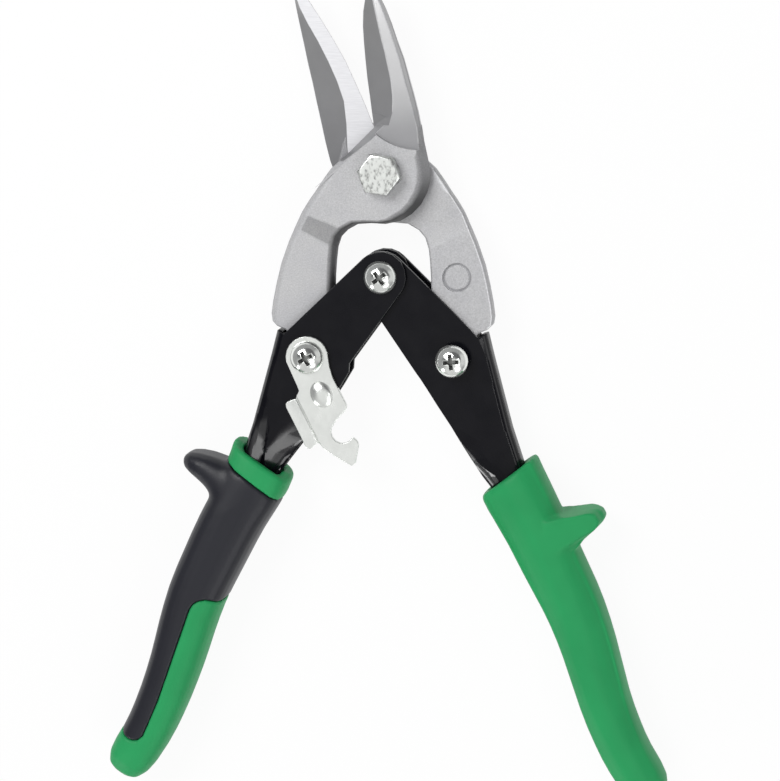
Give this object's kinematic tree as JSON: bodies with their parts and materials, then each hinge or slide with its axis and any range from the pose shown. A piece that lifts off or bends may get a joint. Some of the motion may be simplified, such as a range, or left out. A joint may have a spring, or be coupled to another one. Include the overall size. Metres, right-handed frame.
{
  "type": "aviation snips",
  "caption": "Right-cut compound-action aviation snips with forged jaws, pinned steel channel handles, a toggle pivot, a return spring, a hook latch and moulded grips.",
  "frame": {"origin": "centre of the pivot bolt's end face, on which the tool lies", "axes": "+Y along the tool towards the blade tips, +Z out of the tool's front face, +X to the right of a viewer in front"},
  "size_m": [0.1728, 0.2479, 0.0232],
  "materials": {
    "forged_steel": "blasted forging with ground jaws",
    "zinc": "bright zinc plating",
    "black_enamel": "gloss black enamel",
    "green_grip": "satin green moulded plastic",
    "grey_overmould": "soft dark grey overmould",
    "spring_steel": "bare spring wire"
  },
  "bodies": {
    "left_handle": {"left_channel": "black_enamel", "left_grip_core": "green_grip", "left_grip_overmould": "grey_overmould", "toggle_screw": "zinc", "toggle_nut": "zinc", "toggle_sleeve": "zinc", "left_tang_screw": "zinc", "left_tang_nut": "zinc", "return_spring": "spring_steel"},
    "right_handle": {"right_channel": "black_enamel", "right_grip": "green_grip", "right_tang_screw": "zinc", "right_tang_nut": "zinc"},
    "front_blade": {"front_blade": "forged_steel"},
    "rear_blade": {"rear_blade": "forged_steel", "pivot_bolt": "zinc", "pivot_nut": "zinc"},
    "latch": {"latch": "zinc"}
  },
  "joints": [
    {"name": "toggle", "type": "hinge", "parent": "left_handle", "child": "right_handle", "pos_m": [0, -0.031, 0.011], "axis": [0, 0, -1], "range_deg": [0, 39.6], "stiffness_Nm_per_rad": 0.6, "springref_deg": -34.38, "deforming": ["return_spring"]},
    {"name": "front_tang_hinge", "type": "hinge", "parent": "left_handle", "child": "front_blade", "pos_m": [-0.022, -0.0555, 0.011], "axis": [0, 0, -1], "range_deg": [0, 10.2]},
    {"name": "jaw_pivot", "type": "hinge", "parent": "front_blade", "child": "rear_blade", "pos_m": [0, 0, 0.011], "axis": [0, 0, -1], "range_deg": [0, 19.3]},
    {"name": "latch_swing", "type": "hinge", "parent": "left_handle", "child": "latch", "pos_m": [-0.022, -0.0555, 0.011], "axis": [0, 0, 1], "range_deg": [0, 44.1]}
  ],
  "couplings": [
    {"joint": "front_tang_hinge", "follows": "toggle", "ratio": 0.2567},
    {"joint": "jaw_pivot", "follows": "toggle", "ratio": 0.4866}
  ]
}
